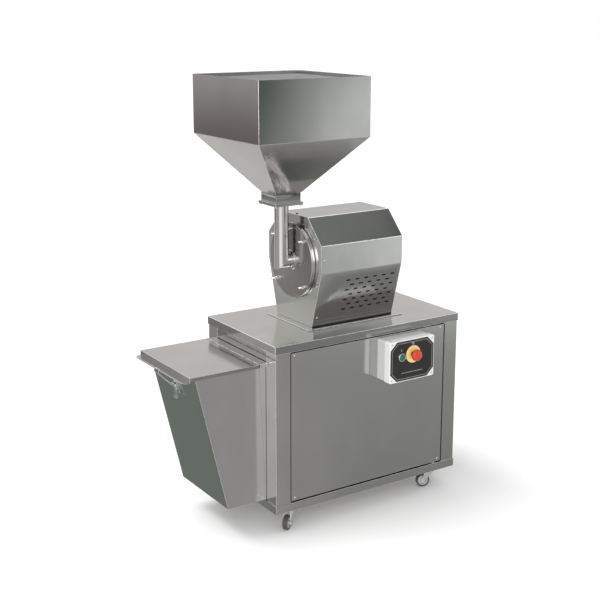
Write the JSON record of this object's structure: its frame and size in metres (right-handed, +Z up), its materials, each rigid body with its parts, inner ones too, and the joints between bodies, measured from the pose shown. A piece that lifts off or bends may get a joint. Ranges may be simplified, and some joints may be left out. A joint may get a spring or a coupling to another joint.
{
  "type": "hammer mill",
  "caption": "Stainless hammer mill on a wheeled cabinet, with a square feed hopper, round grinding chamber, guarded motor, pull-out bin and control box.",
  "frame": {"origin": "middle of the whole machine's outline, on the floor under the castor wheels", "axes": "+X along the motor shaft away from the bin, +Y towards the back, away from the control box, +Z up"},
  "size_m": [1.0701, 0.5454, 1.4861],
  "materials": {
    "brushed_sheet": "brushed satin stainless sheet",
    "casing_plate": "satin mill plate",
    "polished_pipe": "polished round tube",
    "bright_fittings": "bright turned and bent fittings",
    "hinge_pin": "drawn wire",
    "zinc_castor": "zinc plated pressing",
    "grey_rubber": "matt grey tread",
    "rotor_steel": "worn machined steel",
    "motor_paint": "semi-gloss machine paint",
    "grey_plastic": "fine-textured moulding",
    "green_plastic": "gloss",
    "yellow_plastic": "satin",
    "red_plastic": "gloss",
    "black_plastic": "satin"
  },
  "bodies": {
    "cabinet": {"worktop": "brushed_sheet", "base_tray": "brushed_sheet", "corner_post_front_left": "brushed_sheet", "corner_post_front_right": "brushed_sheet", "corner_post_back_left": "brushed_sheet", "corner_post_back_right": "brushed_sheet", "front_panel": "brushed_sheet", "back_panel": "brushed_sheet", "end_panel": "brushed_sheet", "upper_panel": "brushed_sheet", "discharge_chute": "brushed_sheet", "bin_rail_front": "brushed_sheet", "bin_rail_back": "brushed_sheet", "castor_plate_front_left": "zinc_castor", "castor_plate_front_right": "zinc_castor", "castor_plate_back_left": "zinc_castor", "castor_plate_back_right": "zinc_castor", "mill_base_plate": "brushed_sheet", "mill_front_plate": "brushed_sheet", "chamber_casing": "casing_plate", "sieve_screen": "casing_plate", "chamber_cover": "brushed_sheet", "feed_pipe": "polished_pipe", "pipe_flange": "brushed_sheet", "hopper": "brushed_sheet", "motor_guard": "brushed_sheet", "motor_body": "motor_paint", "motor_fan_cover": "motor_paint", "control_box": "grey_plastic", "control_box_lid": "grey_plastic", "stop_collar": "yellow_plastic"},
    "bin": {"bin": "brushed_sheet", "bin_top_strip": "brushed_sheet", "lid_hinge_pin": "hinge_pin", "latch_base": "bright_fittings"},
    "bin_lid": {"bin_lid": "brushed_sheet"},
    "latch_lever": {"latch_lever": "bright_fittings"},
    "latch_bail": {"latch_bail": "bright_fittings"},
    "castor_fork_front_left": {"castor_fork_front_left": "zinc_castor"},
    "castor_wheel_front_left": {"castor_wheel_front_left": "grey_rubber"},
    "castor_fork_front_right": {"castor_fork_front_right": "zinc_castor"},
    "castor_wheel_front_right": {"castor_wheel_front_right": "grey_rubber"},
    "castor_fork_back_left": {"castor_fork_back_left": "zinc_castor"},
    "castor_wheel_back_left": {"castor_wheel_back_left": "grey_rubber"},
    "castor_fork_back_right": {"castor_fork_back_right": "zinc_castor"},
    "castor_wheel_back_right": {"castor_wheel_back_right": "grey_rubber"},
    "cover_knob_1": {"cover_knob_1": "bright_fittings"},
    "cover_knob_2": {"cover_knob_2": "bright_fittings"},
    "cover_knob_3": {"cover_knob_3": "bright_fittings"},
    "cover_knob_4": {"cover_knob_4": "bright_fittings"},
    "rotor": {"rotor": "rotor_steel", "main_shaft": "rotor_steel", "motor_fan": "motor_paint"},
    "hammer_1": {"hammer_1": "rotor_steel"},
    "hammer_2": {"hammer_2": "rotor_steel"},
    "hammer_3": {"hammer_3": "rotor_steel"},
    "hammer_4": {"hammer_4": "rotor_steel"},
    "start_button": {"start_button": "green_plastic"},
    "stop_stem": {"stop_stem": "black_plastic"},
    "stop_head": {"stop_head": "red_plastic"}
  },
  "joints": [
    {"name": "bin_slide", "type": "slide", "parent": "cabinet", "child": "bin", "axis": [-1, 0, 0], "range_m": [0, 0.32]},
    {"name": "lid_hinge", "type": "hinge", "parent": "bin", "child": "bin_lid", "pos_m": [-0.2559, 0.05025, 0.586], "axis": [0, 1, 0], "range_deg": [0, 105]},
    {"name": "latch_lever_hinge", "type": "hinge", "parent": "bin", "child": "latch_lever", "pos_m": [-0.4722, 0.05025, 0.50813], "axis": [0, 1, 0], "range_deg": [0, 120]},
    {"name": "latch_bail_hinge", "type": "hinge", "parent": "latch_lever", "child": "latch_bail", "pos_m": [-0.4689, 0.05025, 0.49864], "axis": [0, 1, 0], "range_deg": [-120, 0]},
    {"name": "castor_swivel_front_left", "type": "hinge", "parent": "cabinet", "child": "castor_fork_front_left", "pos_m": [-0.1459, -0.12975, 0.0627], "axis": [0, 0, 1], "continuous": true},
    {"name": "castor_roll_front_left", "type": "hinge", "parent": "castor_fork_front_left", "child": "castor_wheel_front_left", "pos_m": [-0.16507, -0.14419, 0.025], "axis": [0.6018, -0.7986, 0], "continuous": true},
    {"name": "castor_swivel_front_right", "type": "hinge", "parent": "cabinet", "child": "castor_fork_front_right", "pos_m": [0.4561, -0.12975, 0.0627], "axis": [0, 0, 1], "continuous": true},
    {"name": "castor_roll_front_right", "type": "hinge", "parent": "castor_fork_front_right", "child": "castor_wheel_front_right", "pos_m": [0.43385, -0.12076, 0.025], "axis": [-0.3746, -0.9272, 0], "continuous": true},
    {"name": "castor_swivel_back_left", "type": "hinge", "parent": "cabinet", "child": "castor_fork_back_left", "pos_m": [-0.1459, 0.23025, 0.0627], "axis": [0, 0, 1], "continuous": true},
    {"name": "castor_roll_back_left", "type": "hinge", "parent": "castor_fork_back_left", "child": "castor_wheel_back_left", "pos_m": [-0.16845, 0.22204, 0.025], "axis": [0.342, -0.9397, 0], "continuous": true},
    {"name": "castor_swivel_back_right", "type": "hinge", "parent": "cabinet", "child": "castor_fork_back_right", "pos_m": [0.4561, 0.23025, 0.0627], "axis": [0, 0, 1], "continuous": true},
    {"name": "castor_roll_back_right", "type": "hinge", "parent": "castor_fork_back_right", "child": "castor_wheel_back_right", "pos_m": [0.47689, 0.24225, 0.025], "axis": [-0.5, 0.866, 0], "continuous": true},
    {"name": "knob_turn_1", "type": "hinge", "parent": "cabinet", "child": "cover_knob_1", "pos_m": [-0.0339, 0.13489, 0.94619], "axis": [-1, 0, 0], "continuous": true},
    {"name": "knob_turn_2", "type": "hinge", "parent": "cabinet", "child": "cover_knob_2", "pos_m": [-0.0339, 0.13489, 0.78981], "axis": [-1, 0, 0], "continuous": true},
    {"name": "knob_turn_3", "type": "hinge", "parent": "cabinet", "child": "cover_knob_3", "pos_m": [-0.0339, -0.03439, 0.78981], "axis": [-1, 0, 0], "continuous": true},
    {"name": "knob_turn_4", "type": "hinge", "parent": "cabinet", "child": "cover_knob_4", "pos_m": [-0.0339, -0.03439, 0.94619], "axis": [-1, 0, 0], "continuous": true},
    {"name": "rotor_spin", "type": "hinge", "parent": "cabinet", "child": "rotor", "pos_m": [0.1551, 0.05025, 0.868], "axis": [1, 0, 0], "continuous": true},
    {"name": "hammer_swing_1", "type": "hinge", "parent": "rotor", "child": "hammer_1", "pos_m": [0.0331, 0.09126, 0.90901], "axis": [1, 0, 0], "range_deg": [-40, 40]},
    {"name": "hammer_swing_2", "type": "hinge", "parent": "rotor", "child": "hammer_2", "pos_m": [0.0331, 0.09126, 0.82699], "axis": [1, 0, 0], "range_deg": [-40, 40]},
    {"name": "hammer_swing_3", "type": "hinge", "parent": "rotor", "child": "hammer_3", "pos_m": [0.0331, 0.00924, 0.82699], "axis": [1, 0, 0], "range_deg": [-40, 40]},
    {"name": "hammer_swing_4", "type": "hinge", "parent": "rotor", "child": "hammer_4", "pos_m": [0.0331, 0.00924, 0.90901], "axis": [1, 0, 0], "range_deg": [-40, 40]},
    {"name": "start_press", "type": "slide", "parent": "cabinet", "child": "start_button", "axis": [0, 1, 0], "range_m": [0, 0.003], "stiffness_N_per_m": 800, "springref_m": -0.001},
    {"name": "stop_press", "type": "slide", "parent": "cabinet", "child": "stop_stem", "axis": [0, 1, 0], "range_m": [0, 0.006]},
    {"name": "stop_twist", "type": "hinge", "parent": "stop_stem", "child": "stop_head", "pos_m": [0.2791, -0.23975, 0.561], "axis": [0, -1, 0], "range_deg": [-30, 0], "stiffness_Nm_per_rad": 0.05}
  ],
  "couplings": [
    {"joint": "latch_bail_hinge", "follows": "latch_lever_hinge", "ratio": -1}
  ]
}
